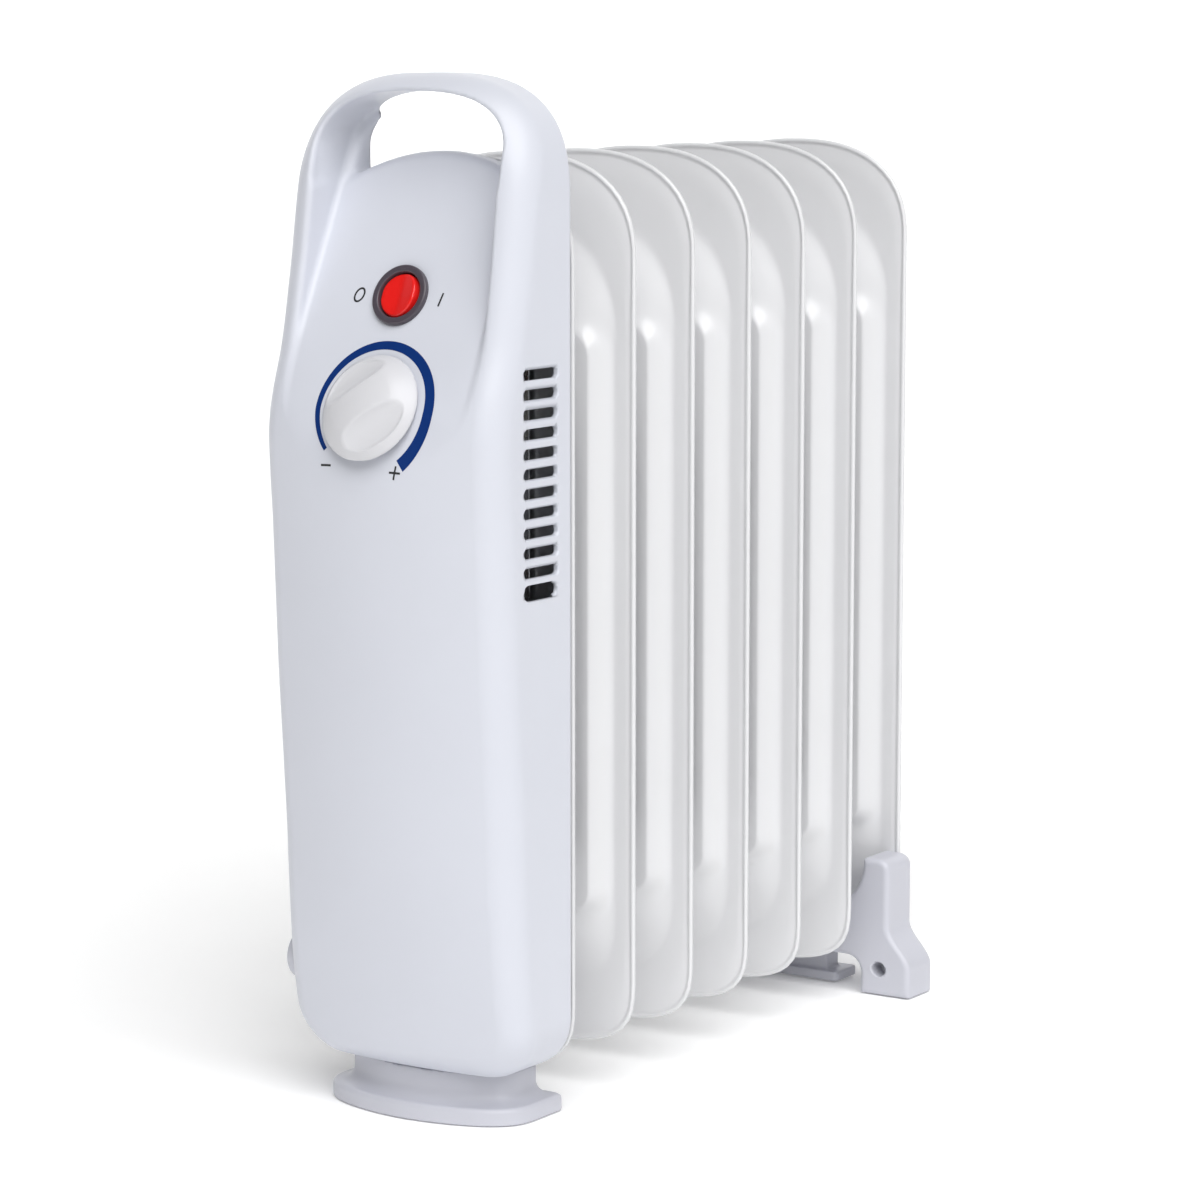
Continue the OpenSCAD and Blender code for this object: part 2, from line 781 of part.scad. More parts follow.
housing();
mounting_plate();
heat_shield();
stud_spacers();
stud_nuts();
housing_screws();
knob();
thermostat_shaft();
thermostat_body();
thermostat_nut();
dial_ring();
switch_bezel();
switch_body();
rocker();
pilot_lamp();
thermal_cutout();
cutout_clip();
terminal_block();
earth_screw();
wire_live();
wire_neutral();
wire_earth();
cord_gland();
gland_nut();
heating_element();
element_flange();
element_gasket();
element_terminals();
filler_plug();
fin_front(1);  // fin_1_front
fin_rear(1);  // fin_1_rear
fin_front(2);  // fin_2_front
fin_rear(2);  // fin_2_rear
fin_front(3);  // fin_3_front
fin_rear(3);  // fin_3_rear
fin_front(4);  // fin_4_front
fin_rear(4);  // fin_4_rear
fin_front(5);  // fin_5_front
fin_rear(5);  // fin_5_rear
fin_front(6);  // fin_6_front
fin_rear(6);  // fin_6_rear
fin_front(7);  // fin_7_front
fin_rear(7);  // fin_7_rear
upper_collars();
lower_collars();
front_foot();
front_foot_screws();
front_foot_pads();
rear_foot_front();
rear_foot_back();
rear_foot_screws();
rear_foot_pads();
cord_hook();
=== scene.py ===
"""Looks of the oil filled radiator heater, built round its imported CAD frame.

Shapes are worked out in millimetres in the heater's own frame: X across, Y back from the first
fin's middle plane, Z up from the floor. place() turns them into metres in the row frame.
"""
import json
import math

import bmesh
import bpy
import numpy as np
from mathutils import Matrix, Vector


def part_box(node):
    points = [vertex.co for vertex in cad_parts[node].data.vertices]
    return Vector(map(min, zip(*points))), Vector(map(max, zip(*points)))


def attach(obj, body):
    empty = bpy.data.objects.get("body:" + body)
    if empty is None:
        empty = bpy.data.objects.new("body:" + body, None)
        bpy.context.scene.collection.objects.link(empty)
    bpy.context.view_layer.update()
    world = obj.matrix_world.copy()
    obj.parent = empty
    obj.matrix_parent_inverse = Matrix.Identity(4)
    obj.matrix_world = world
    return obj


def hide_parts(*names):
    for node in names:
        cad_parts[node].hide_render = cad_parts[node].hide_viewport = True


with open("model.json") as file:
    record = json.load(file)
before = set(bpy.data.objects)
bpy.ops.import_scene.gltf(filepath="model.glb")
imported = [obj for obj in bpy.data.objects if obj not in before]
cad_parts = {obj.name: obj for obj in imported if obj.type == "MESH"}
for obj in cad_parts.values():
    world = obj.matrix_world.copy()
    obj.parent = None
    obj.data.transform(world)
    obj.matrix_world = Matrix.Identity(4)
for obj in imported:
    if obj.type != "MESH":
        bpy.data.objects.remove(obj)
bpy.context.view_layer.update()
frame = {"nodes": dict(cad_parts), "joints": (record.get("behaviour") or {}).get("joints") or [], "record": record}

MM = 0.001
STACK_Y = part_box("fin_1_front")[1].y / MM
FIN_Y = [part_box(f"fin_{k}_front")[1].y / MM - STACK_Y for k in range(1, 8)]
ROOT, KNOB, ROCKER = "radiator", "knob", "rocker"
SLOT_OF = {part["node"]: part["material_slot"] for part in frame["record"]["subparts"]}


# ---------- camera, light and floor ----------

VIEW_AZIMUTH, VIEW_ELEVATION = math.radians(33.6), math.radians(8.15)
CAMERA_AT = (846.8, -1181.0, 394.3)
LENS, SENSOR_WIDTH = 120.4, 36
FAR_CLIP = 50
FLOOR_SIZE = 60
BACKDROP_AT = (-13.1, 19.8, 0)
SUN_TOWARD = (0.74, -0.68, 1.2)
SUN_STRENGTH, SUN_WIDTH = 2.9, math.radians(56)
DIM_SIDE = (-0.95, -0.3, 0.0)
SKY_LEVELS = ((0.0, 0.24), (0.3, 0.52), (0.5, 0.80), (1.0, 0.06))
FLOOR_GLOW = 0.1


def make_camera():
    level = math.cos(VIEW_ELEVATION)
    back = Vector((math.sin(VIEW_AZIMUTH) * level, -math.cos(VIEW_AZIMUTH) * level,
                   math.sin(VIEW_ELEVATION)))
    right = Vector((math.cos(VIEW_AZIMUTH), math.sin(VIEW_AZIMUTH), 0))
    up = back.cross(right)
    data = bpy.data.cameras.new("camera")
    data.sensor_width = SENSOR_WIDTH
    data.lens = LENS
    data.clip_end = FAR_CLIP
    camera = bpy.data.objects.new("camera", data)
    pose = Matrix((right, up, back)).transposed().to_4x4()
    pose.translation = Vector(place(CAMERA_AT))
    camera.matrix_world = pose
    bpy.context.scene.collection.objects.link(camera)
    bpy.context.scene.camera = camera


def make_sun():
    data = bpy.data.lights.new("key", "SUN")
    data.energy = SUN_STRENGTH
    data.angle = SUN_WIDTH
    sun = bpy.data.objects.new("key", data)
    sun.rotation_euler = Vector(SUN_TOWARD).to_track_quat("Z", "Y").to_euler()
    bpy.context.scene.collection.objects.link(sun)


def make_world():
    """White studio light that dims towards the left and a little towards the right."""
    world = bpy.data.worlds.new("studio")
    world.use_nodes = True
    nodes, links = world.node_tree.nodes, world.node_tree.links
    coords = nodes.new("ShaderNodeTexCoord")
    along = nodes.new("ShaderNodeVectorMath")
    along.operation = "DOT_PRODUCT"
    along.inputs[1].default_value = Vector(DIM_SIDE).normalized()
    links.new(coords.outputs["Generated"], along.inputs[0])
    shade = nodes.new("ShaderNodeValToRGB")
    for stop, level in SKY_LEVELS:
        if stop in (0.0, 1.0):
            mark = shade.color_ramp.elements[int(stop)]
        else:
            mark = shade.color_ramp.elements.new(stop)
        mark.position = stop
        mark.color = (level, level, level, 1)
    spread = nodes.new("ShaderNodeMapRange")
    spread.inputs["From Min"].default_value = -1.0
    links.new(along.outputs["Value"], spread.inputs["Value"])
    links.new(spread.outputs["Result"], shade.inputs["Fac"])
    links.new(shade.outputs["Color"], nodes["Background"].inputs["Color"])
    bpy.context.scene.world = world
    bpy.context.scene.view_settings.view_transform = "Standard"


def make_floor():
    """A pale floor and a backdrop far behind it, square to the camera."""
    white = paint("floor_paint", (0.99, 0.99, 0.99), 0.9, spec=0.0)
    shader = white.node_tree.nodes["Principled BSDF"]
    shader.inputs["Emission Color"].default_value = (1, 1, 1, 1)
    shader.inputs["Emission Strength"].default_value = FLOOR_GLOW
    bpy.ops.mesh.primitive_plane_add(size=FLOOR_SIZE)
    floor = bpy.context.object
    floor.name = "floor"
    bpy.ops.mesh.primitive_plane_add(size=FLOOR_SIZE, location=BACKDROP_AT,
                                     rotation=(math.radians(90), 0, VIEW_AZIMUTH))
    backdrop = bpy.context.object
    backdrop.name = "backdrop"
    for thing in (floor, backdrop):
        thing.data.materials.append(white)


# ---------- materials ----------

class Nodes:
    """Short ways to add nodes to one material."""

    def __init__(self, name):
        self.material = bpy.data.materials.new(name)
        self.material.use_nodes = True
        self.tree = self.material.node_tree
        self.shader = self.tree.nodes["Principled BSDF"]

    def add(self, kind, **values):
        node = self.tree.nodes.new(kind)
        for key, value in values.items():
            if key in node.inputs:
                node.inputs[key].default_value = value
            else:
                setattr(node, key, value)
        return node

    def link(self, source, target):
        self.tree.links.new(source, target)

    def noise(self, scale, detail=2.0):
        coords = self.tree.nodes.get("Texture Coordinate") or self.add("ShaderNodeTexCoord")
        node = self.add("ShaderNodeTexNoise", Scale=scale, Detail=detail)
        self.link(coords.outputs["Object"], node.inputs["Vector"])
        return node

    def vary_colour(self, colour, spread, scale):
        ramp = self.add("ShaderNodeValToRGB")
        low = [c * (1 - spread) for c in colour]
        high = [min(1, c * (1 + spread)) for c in colour]
        ramp.color_ramp.elements[0].position = 0.3
        ramp.color_ramp.elements[1].position = 0.7
        ramp.color_ramp.elements[0].color = (*low, 1)
        ramp.color_ramp.elements[1].color = (*high, 1)
        self.link(self.noise(scale).outputs["Fac"], ramp.inputs["Fac"])
        self.link(ramp.outputs["Color"], self.shader.inputs["Base Color"])

    def vary_roughness(self, middle, spread, scale):
        span = self.add("ShaderNodeMapRange")
        span.inputs["To Min"].default_value = max(0, middle - spread)
        span.inputs["To Max"].default_value = min(1, middle + spread)
        self.link(self.noise(scale, 3.0).outputs["Fac"], span.inputs["Value"])
        self.link(span.outputs["Result"], self.shader.inputs["Roughness"])

    def bump(self, scale, depth):
        node = self.add("ShaderNodeBump", Distance=depth, Strength=1.0)
        self.link(self.noise(scale).outputs["Fac"], node.inputs["Height"])
        self.link(node.outputs["Normal"], self.shader.inputs["Normal"])


def paint(name, colour, rough, spec=0.5, grain=900, depth=0.00002, coat=0.0):
    """Moulded plastic, rubber or enamel: fine grain, faint cloudiness and uneven gloss."""
    n = Nodes(name)
    n.vary_colour(colour, 0.01, 14)
    n.vary_roughness(rough, min(0.06, rough * 0.2), 40)
    n.bump(grain, depth)
    n.shader.inputs["Specular IOR Level"].default_value = spec
    n.shader.inputs["Coat Weight"].default_value = coat
    n.shader.inputs["Coat Roughness"].default_value = 0.08
    return n.material


def metal(name, colour, rough):
    """Plated or bare metal with a fine uneven gloss."""
    n = Nodes(name)
    n.vary_colour(colour, 0.06, 60)
    n.vary_roughness(rough, 0.1, 300)
    n.bump(600, 0.00002)
    n.shader.inputs["Metallic"].default_value = 1.0
    return n.material


def red_with_painted_glow():
    """The rocker's translucent red plastic, with a faint painted glow, since the rocker is no lamp."""
    n = Nodes("rocker_red")
    n.vary_colour((0.74, 0.012, 0.010), 0.05, 60)
    n.vary_roughness(0.22, 0.05, 90)
    n.bump(700, 0.00001)
    n.shader.inputs["Subsurface Weight"].default_value = 0.25
    n.shader.inputs["Subsurface Radius"].default_value = (1.0, 0.15, 0.1)
    n.shader.inputs["Subsurface Scale"].default_value = 0.002
    # Painted glow: a faint red emission that makes the rocker look lit, though it is no lamp.
    n.shader.inputs["Emission Color"].default_value = (0.9, 0.02, 0.015, 1)
    n.shader.inputs["Emission Strength"].default_value = 0.06
    return n.material


def make_materials():
    return {
        "housing_plastic": paint("housing_plastic", (0.655, 0.672, 0.735), 0.38, grain=1400,
                                 depth=0.000012),
        "knob_plastic": paint("knob_plastic", (0.66, 0.66, 0.685), 0.42),
        "fin_enamel": paint("fin_enamel", (0.75, 0.752, 0.765), 0.3, grain=220, depth=0.00001,
                            coat=0.25),
        "foot_plastic": paint("foot_plastic", (0.56, 0.565, 0.62), 0.4, grain=1400),
        "zinc_steel": metal("zinc_steel", (0.62, 0.63, 0.65), 0.35),
        "shield_aluminium": metal("shield_aluminium", (0.75, 0.76, 0.77), 0.25),
        "dark_plastic": paint("dark_plastic", (0.072, 0.060, 0.075), 0.34, grain=1600),
        "rocker_red": red_with_painted_glow(),
        "lamp_glass": paint("lamp_glass", (0.85, 0.32, 0.12), 0.1, coat=0.8),
        "ring_ink": paint("ring_ink", (0.0, 0.026, 0.16), 0.6, spec=0.2),
        "mark_ink": paint("mark_ink", (0.018, 0.018, 0.02), 0.5),
        "insulator": paint("insulator", (0.70, 0.68, 0.58), 0.6, grain=500),
        "black_plastic": paint("black_plastic", (0.02, 0.02, 0.022), 0.4),
        "rubber_black": paint("rubber_black", (0.015, 0.015, 0.015), 0.75, grain=600),
        "wire_brown": paint("wire_brown", (0.10, 0.035, 0.012), 0.4),
        "wire_blue": paint("wire_blue", (0.01, 0.05, 0.32), 0.4),
        "wire_green": paint("wire_green", (0.06, 0.33, 0.02), 0.4),
        "brass": metal("brass", (0.72, 0.50, 0.18), 0.3),
        "element_steel": metal("element_steel", (0.20, 0.19, 0.18), 0.45),
    }


# ---------- meshes from numbers ----------

SLOPE_STEP = 0.04
SETTLE_ROUNDS = 3
WELD_GAP = 0.00001

def place(points):
    """Millimetres in the heater's own frame to metres in the row frame."""
    return (np.asarray(points, float) + (0, STACK_Y, 0)) * MM


def new_piece(name, points, faces, slot, body=ROOT, stands_for=(), normals=None):
    mesh = bpy.data.meshes.new(name)
    mesh.from_pydata(place(points).tolist(), [], faces)
    mesh.validate()
    mesh.polygons.foreach_set("use_smooth", [True] * len(mesh.polygons))
    if normals is not None and len(normals) == len(mesh.vertices):
        mesh.normals_split_custom_set_from_vertices(normals.tolist())
    piece = bpy.data.objects.new(name, mesh)
    bpy.context.scene.collection.objects.link(piece)
    mesh.materials.append(MATERIALS[slot])
    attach(piece, body)
    if stands_for:
        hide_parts(*stands_for)
    return piece


def smooth_step(x):
    t = np.clip(x, 0, 1)
    return t * t * (3 - 2 * t)


def smooth_min(a, b, k):
    h = np.clip(0.5 + 0.5 * (b - a) / k, 0, 1)
    return b * (1 - h) + a * h - k * h * (1 - h)


def smooth_max(a, b, k):
    return -smooth_min(-a, -b, k)


def both(a, b, r):
    """Where both distances are negative, with the edge between them rounded to r."""
    u, v = np.maximum(a + r, 0), np.maximum(b + r, 0)
    return np.minimum(np.maximum(a, b) + r, 0) + np.hypot(u, v) - r


def crown_distance(x, dz, half_w, height, n):
    """Distance to a superellipse arch on straight sides; dz counts from where it springs."""
    u, w = np.abs(x) / half_w, np.maximum(dz, 0) / height
    size = np.maximum((u ** n + w ** n) ** (1 / n), 1e-6)
    slope = np.hypot((u / size) ** (n - 1) / half_w, (w / size) ** (n - 1) / height)
    return (size - 1) / np.maximum(slope, 1e-6)


def surface_net(shape, xs, ys, zs):
    """Points, quads and normals of the surface where shape(x, y, z) is 0; inside is negative."""
    axes = [np.asarray(a, float) for a in (xs, ys, zs)]
    grid = np.meshgrid(*axes, indexing="ij")
    f = shape(*grid)
    inside = f < 0
    cells = tuple(n - 1 for n in f.shape)
    total = np.zeros((3, *cells))
    count = np.zeros(cells)
    crossings = []
    for axis in range(3):
        low = tuple(slice(None, -1) if a == axis else slice(None) for a in range(3))
        high = tuple(slice(1, None) if a == axis else slice(None) for a in range(3))
        crossed = inside[low] != inside[high]
        ijk = np.argwhere(crossed)
        f0, f1 = f[low][crossed], f[high][crossed]
        t = f0 / (f0 - f1)
        spot = [axes[a][ijk[:, a]] for a in range(3)]
        spot[axis] = spot[axis] * (1 - t) + axes[axis][ijk[:, axis] + 1] * t
        crossings.append((axis, ijk, f0 < 0))
        b, c = [a for a in range(3) if a != axis]
        for db in (0, -1):
            for dc in (0, -1):
                cell = ijk.copy()
                cell[:, b] += db
                cell[:, c] += dc
                ok = np.all((cell >= 0) & (cell < cells), axis=1)
                at = tuple(cell[ok].T)
                np.add.at(count, at, 1)
                for a in range(3):
                    np.add.at(total[a], at, spot[a][ok])
    used = count > 0
    number = np.full(cells, -1)
    number[used] = np.arange(used.sum())
    points = np.stack([total[a][used] / count[used] for a in range(3)], axis=1)
    quads = []
    for axis, ijk, first_inside in crossings:
        b, c = [(1, 2), (2, 0), (0, 1)][axis]
        ok = (ijk[:, b] > 0) & (ijk[:, c] > 0) & (ijk[:, b] < cells[b]) & (ijk[:, c] < cells[c])
        ring = []
        for db, dc in ((-1, -1), (0, -1), (0, 0), (-1, 0)):
            cell = ijk[ok].copy()
            cell[:, b] += db
            cell[:, c] += dc
            ring.append(number[tuple(cell.T)])
        ring = np.stack(ring, axis=1)
        ring[~first_inside[ok]] = ring[~first_inside[ok]][:, ::-1]
        quads.append(ring)
    quads = np.concatenate(quads)

    def slope(p):
        return np.stack([(shape(*(p + d).T) - shape(*(p - d).T)) / (2 * SLOPE_STEP)
                         for d in np.eye(3) * SLOPE_STEP], axis=1)

    reach = 0.6 * min(np.diff(a).min() for a in axes)
    for _ in range(SETTLE_ROUNDS):
        g = slope(points)
        move = -shape(*points.T)[:, None] * g / np.maximum((g * g).sum(1), 0.05)[:, None]
        size = np.linalg.norm(move, axis=1, keepdims=True)
        points = points + move * np.minimum(1, reach / np.maximum(size, 1e-9))
    normals = slope(points)
    normals /= np.maximum(np.linalg.norm(normals, axis=1, keepdims=True), 1e-9)
    return points, quads.tolist(), normals


def spaced(*stops):
    """Grid lines: spaced(a, step, b, step, c, ...) runs from a to b and on to c."""
    lines = []
    for start, step, end in zip(stops[0::2], stops[1::2], stops[2::2]):
        lines.append(np.linspace(start, end, max(2, round((end - start) / step) + 1))[:-1])
    return np.concatenate([*lines, [stops[-1]]])


def turned_faces(rows, sides):
    """Quads of a closed outline of rows points turned into a ring of that many sides."""
    return [(k * sides + i, k * sides + (i + 1) % sides,
             (k + 1) % rows * sides + (i + 1) % sides, (k + 1) % rows * sides + i)
            for k in range(rows) for i in range(sides)]


def joined(parts):
    """Several (points, faces) as one."""
    points, faces = [], []
    for part, quads in parts:
        faces += [tuple(i + len(points) for i in quad) for quad in quads]
        points += list(part)
    return points, faces


def weld(piece):
    """Joins points that lie together and takes away faces left with no area."""
    mesh = bmesh.new()
    mesh.from_mesh(piece.data)
    bmesh.ops.remove_doubles(mesh, verts=mesh.verts, dist=WELD_GAP)
    bmesh.ops.dissolve_degenerate(mesh, edges=mesh.edges, dist=WELD_GAP)
    bmesh.ops.recalc_face_normals(mesh, faces=mesh.faces)
    mesh.to_mesh(piece.data)
    mesh.free()
    piece.data.polygons.foreach_set("use_smooth", [True] * len(piece.data.polygons))


def net_piece(name, shape, grid, slot, body=ROOT, stands_for=()):
    points, quads, normals = surface_net(shape, *grid)
    return new_piece(name, points, quads, slot, body, stands_for, normals)


# ---------- housing ----------

KNOB_JOINT = next(j for j in frame["joints"] if j["name"] == "knob_turn")
PANEL_AT = np.array(KNOB_JOINT["pos_m"]) / MM - (0, STACK_Y, 0)
PANEL_OUT = -np.array(KNOB_JOINT["axis"])
PANEL_UP = np.cross(PANEL_OUT, (1.0, 0.0, 0.0))
SWITCH_RISE = 42.8
SWITCH_HOLE_R, SHAFT_HOLE_R = 10.0, 5.0
SHELL_W, SHELL_LOW, SHELL_TOP, CROWN_Z = 52.3, 18.0, 377.7, 333.0
SHELL_CORNER = 20.0
SHELL_BACK_Y = -3.0
SHELL_WALL = 2.4
ROOM_TOP = 335.8
LEDGE_Z, LEDGE_R = 349.8, 75.0
GRIP_HALF_W, GRIP_RISE = 35.3, 16.6
VENT_PITCH, VENT_TOP, VENT_COUNT = 7.0, 273.2, 12
VENT_Y, VENT_HALF_Y, VENT_HALF_Z = -22.3, 10.2, 1.9
GLAND_Y, GLAND_Z, GLAND_HOLE_R = -24, 52, 6.3


def profile_table():
    """The front face's Y over its height, smoothed."""
    heights = [18, 30, 49, 90, 162, 232, 250, 260, 268, 280, 290, 300, 314, 344, 358, 370, 380]
    reach = [-38, -42, -45.3, -49.8, -54.8, -57.8, -57.4, -55.2, -52.3, -47.2, -44.8, -42.9, -40.2,
             -35.8, -32.2, -29.2, -26.4]
    z = np.arange(-30, 430, 0.5)
    y = np.interp(z, heights, reach)
    kernel = np.exp(-0.5 * (np.arange(-40, 41) * 0.5 / 4.0) ** 2)
    return z, np.convolve(np.pad(y, 40, "edge"), kernel / kernel.sum(), "valid")


PROFILE = profile_table()
PROFILE_SLOPE = np.gradient(PROFILE[1], PROFILE[0])


def shell_front(x, z):
    """The front face's Y, curving back towards the sides."""
    crown = 7.0 + 2.6 * smooth_step((z - 50) / 60) - 4.4 * smooth_step((z - 215) / 75)
    return np.interp(z, *PROFILE) + crown * (x / SHELL_W) ** 2


def shell_outline(x, z):
    """Distance in X and Z to the shell's outline."""
    crown = crown_distance(x, z - CROWN_Z, SHELL_W, SHELL_TOP - CROWN_Z, 2.7)
    low = np.hypot(np.maximum(np.abs(x) - SHELL_W + SHELL_CORNER, 0),
                   np.maximum(SHELL_LOW + SHELL_CORNER - z, 0)) - SHELL_CORNER
    return np.maximum(crown, np.where(z < SHELL_LOW + SHELL_CORNER, low, crown))


def panel_coords(x, y, z):
    """Across, up and out of the control panel, from the knob's axis."""
    p = np.stack([x, y - PANEL_AT[1], z - PANEL_AT[2]])
    return x, np.tensordot(PANEL_UP, p, 1), np.tensordot(PANEL_OUT, p, 1)


def dish_outline(x, z):
    """Distance in X and Z to the recess: posts above, a deep bowl below."""
    side = 40.0 + 0.8 * smooth_step((345 - z) / 70)
    above = crown_distance(x, z - LEDGE_Z, side, 21.5, 2.5)
    below = crown_distance(x, 277 - z, side, 57, 2.35)
    return np.where(z > 300, above, below)


def handle_hole(x, y, z):
    """The grip's opening: an arch over a rounded ledge, wider towards the front."""
    taper = np.clip(SHELL_BACK_Y - y, 0, 26)
    arch = crown_distance(x, z - LEDGE_Z, GRIP_HALF_W + 0.17 * taper, GRIP_RISE, 2.5)
    ledge = np.hypot(x, np.maximum(z - LEDGE_Z + LEDGE_R, 0)) - LEDGE_R
    return both(arch, -ledge, 3.0)


def shell_body(x, y, z):
    """The shell without its back, its inside and its holes."""
    slope = np.interp(z, PROFILE[0], PROFILE_SLOPE)
    front = (shell_front(x, z) - y) / np.sqrt(1 + slope ** 2)
    round_r = 9.5 + 1.5 * smooth_step((z - 320) / 40)
    outer = both(shell_outline(x, z), front, round_r)
    out = panel_coords(x, y, z)[2]
    dish = both(-out, dish_outline(x, z), 2.5)
    edge_r = np.maximum(2.4, 6.0 * (1 - (x / 48) ** 2) * smooth_step((272 - z) / 24))
    return both(outer, -dish, edge_r)


def vents(x, y, z):
    """The slots in both side walls."""
    step = np.clip(np.round((VENT_TOP - z) / VENT_PITCH), 0, VENT_COUNT - 1)
    dy = np.abs(y - VENT_Y) - VENT_HALF_Y
    dz = np.abs(z - (VENT_TOP - step * VENT_PITCH)) - VENT_HALF_Z
    slot = both(dy, dz, 1.3)
    return np.maximum(slot, 44 - np.abs(x))


def housing_shape(x, y, z):
    """The hollow shell with its handle, vents and the holes for switch, shaft and gland."""
    body = shell_body(x, y, z)
    solid = both(body, -handle_hole(x, y, z), 3.0)
    solid = both(solid, y - SHELL_BACK_Y, 1.6)
    inside = both(body + SHELL_WALL, z - ROOM_TOP, 2.0)
    solid = both(solid, -inside, 0.4)
    across, up, out = panel_coords(x, y, z)
    solid = both(solid, -vents(x, y, z), 0.5)
    switch_hole = np.hypot(across, up - SWITCH_RISE) - SWITCH_HOLE_R
    shaft_hole = np.hypot(across, up) - SHAFT_HOLE_R
    solid = np.maximum(solid, -np.maximum(switch_hole, -16 - out))
    solid = np.maximum(solid, -np.maximum(shaft_hole, -10 - out))
    gland_hole = np.hypot(y - GLAND_Y, z - GLAND_Z) - GLAND_HOLE_R
    return np.maximum(solid, -np.maximum(gland_hole, x + 40))


def make_housing():
    fine = 1.15
    grid = (spaced(-53.5, fine, 53.5), spaced(-60, fine, -1),
            spaced(16, fine, 44, 2.6, 200, fine, 379.5))
    net_piece("housing_shell", housing_shape, grid, "housing_plastic", stands_for=["housing"])


def on_surface(across, up):
    """How far out of the panel plane the housing's surface lies, at points on the panel."""
    across, up = np.asarray(across, float), np.asarray(up, float)
    low, high = np.full(across.shape, -14.0), np.full(across.shape, 6.0)
    for _ in range(30):
        mid = (low + high) / 2
        p = panel_point(across, up, mid)
        solid = shell_body(p[..., 0], p[..., 1], p[..., 2]) < 0
        low, high = np.where(solid, mid, low), np.where(solid, high, mid)
    return (low + high) / 2


def panel_point(across, up, out):
    """Points given across, up and out of the control panel, in the heater's own frame."""
    across, up, out = np.broadcast_arrays(across, up, out)
    return (PANEL_AT + across[..., None] * np.array((1.0, 0, 0))
            + up[..., None] * PANEL_UP + out[..., None] * PANEL_OUT)


# ---------- printed ring and marks ----------

INK_HEIGHT = 0.07
RING_R = 22.4
RING_LOW, RING_HIGH, RING_STEPS = 221, -51, 121
MARK_LEAN, MARK_SIZE, MARK_HALF = 0.18, 1.1, 0.36


def printed_strip(inner, outer):
    """A thin printed band between two rows of panel points, laid on the housing."""
    rows = []
    for t in (0, 0.5, 1):
        across = inner[:, 0] * (1 - t) + outer[:, 0] * t
        up = inner[:, 1] * (1 - t) + outer[:, 1] * t
        rows.append(panel_point(across, up, on_surface(across, up) + INK_HEIGHT))
    points = np.concatenate(rows)
    n = len(inner)
    faces = [(r * n + i, r * n + i + 1, (r + 1) * n + i + 1, (r + 1) * n + i)
             for r in range(2) for i in range(n - 1)]
    return points, faces


def make_ring():
    """The dial's crescent, widening from the low end to the high end."""
    turn = np.radians(np.linspace(RING_LOW, RING_HIGH, RING_STEPS))
    width = 1.6 + 2.9 * np.linspace(0, 1, RING_STEPS) ** 0.8
    inner = np.stack([RING_R * np.cos(turn), RING_R * np.sin(turn)], axis=1)
    outer = inner * ((RING_R + width) / RING_R)[:, None]
    points, faces = printed_strip(inner, outer)
    new_piece("dial_print", points, faces, "ring_ink", stands_for=["dial_ring"])


def stroke(path, half):
    """A band of half-width half along a flat path, as its two sides."""
    path = np.asarray(path, float)
    along = np.gradient(path, axis=0)
    along /= np.linalg.norm(along, axis=1, keepdims=True)
    side = np.stack([-along[:, 1], along[:, 0]], axis=1) * half
    return path - side, path + side


def make_marks():
    """An O and an I beside the switch, and a minus and a plus at the ends of the dial."""
    turn = np.linspace(0, 2 * math.pi, 41)
    oval = np.stack([1.75 * np.cos(turn), 2.3 * np.sin(turn)], axis=1)
    bar = np.stack([np.zeros(9), np.linspace(-2.3, 2.3, 9)], axis=1)
    dash = np.stack([np.linspace(-2.1, 2.1, 9), np.zeros(9)], axis=1)
    post = np.stack([np.zeros(9), np.linspace(-2.1, 2.1, 9)], axis=1)
    marks = [("mark_off", [oval], (-18.3, 42.5)), ("mark_on", [bar], (17.5, 42.0)),
             ("mark_low", [dash], (-16.8, -20.6)), ("mark_high", [dash, post], (13.6, -21.6))]
    for name, strokes, centre in marks:
        parts = []
        for path in strokes:
            slanted = path + np.stack([path[:, 1] * MARK_LEAN, 0 * path[:, 1]], axis=1)
            parts.append(printed_strip(*stroke(slanted * MARK_SIZE + np.array(centre), MARK_HALF)))
        new_piece(name, *joined(parts), "mark_ink")


# ---------- knob and switch ----------

KNOB_H, KNOB_R, KNOB_DOME_R = 9.3, 20.2, 38.0
KNOB_BAR_TURN = math.radians(219)
SCOOP_R, SCOOP_ASIDE, SCOOP_FLOOR, SCOOP_END_R = 10.0, 14.6, 3.5, 17.4
ROCKER_R, ROCKER_LEAN, ROCKER_PIVOT = 8.2, math.radians(10), -0.8
LATHE_SIDES = 96


def knob_shape(x, y, z):
    """Dome with two scoops; the grip bar between them points to the low end at rest."""
    across, up, out = panel_coords(x, y, z)
    r = np.hypot(across, up)
    top = np.sqrt(r ** 2 + (out + KNOB_DOME_R - KNOB_H) ** 2) - KNOB_DOME_R
    body = both((r - 20.4) * 0.75 + (out - 1.0) * 0.66, top, 2.2)
    body = both(body, r - KNOB_R, 0.8)
    aside = up * math.cos(KNOB_BAR_TURN) - across * math.sin(KNOB_BAR_TURN)
    scoop = np.hypot(np.abs(aside) - SCOOP_ASIDE, out - SCOOP_FLOOR - SCOOP_R) - SCOOP_R
    scoop = both(scoop, r - SCOOP_END_R, 1.2)
    body = both(body, -scoop, 0.6)
    body = both(body, 0.8 - out, 0.4)
    hollow = np.maximum(r - 14.75, out - 2.4)
    return np.maximum(body, -np.maximum(hollow, 3.0 - r))


def panel_grid(radius, low, high, rise, step):
    """Grid lines round a disc on the panel, in X, Y and Z."""
    corners = np.array([panel_point(a, rise + u, o) for a in (-radius, radius)
                        for u in (-radius, radius) for o in (low, high)])
    return [spaced(lo - 1, step, hi + 1) for lo, hi in zip(corners.min(0), corners.max(0))]


def make_knob():
    step = 0.5
    net_piece("knob_cap", knob_shape, panel_grid(20.6, 0, 11.8, 0, step), "knob_plastic", KNOB,
              ["knob"])


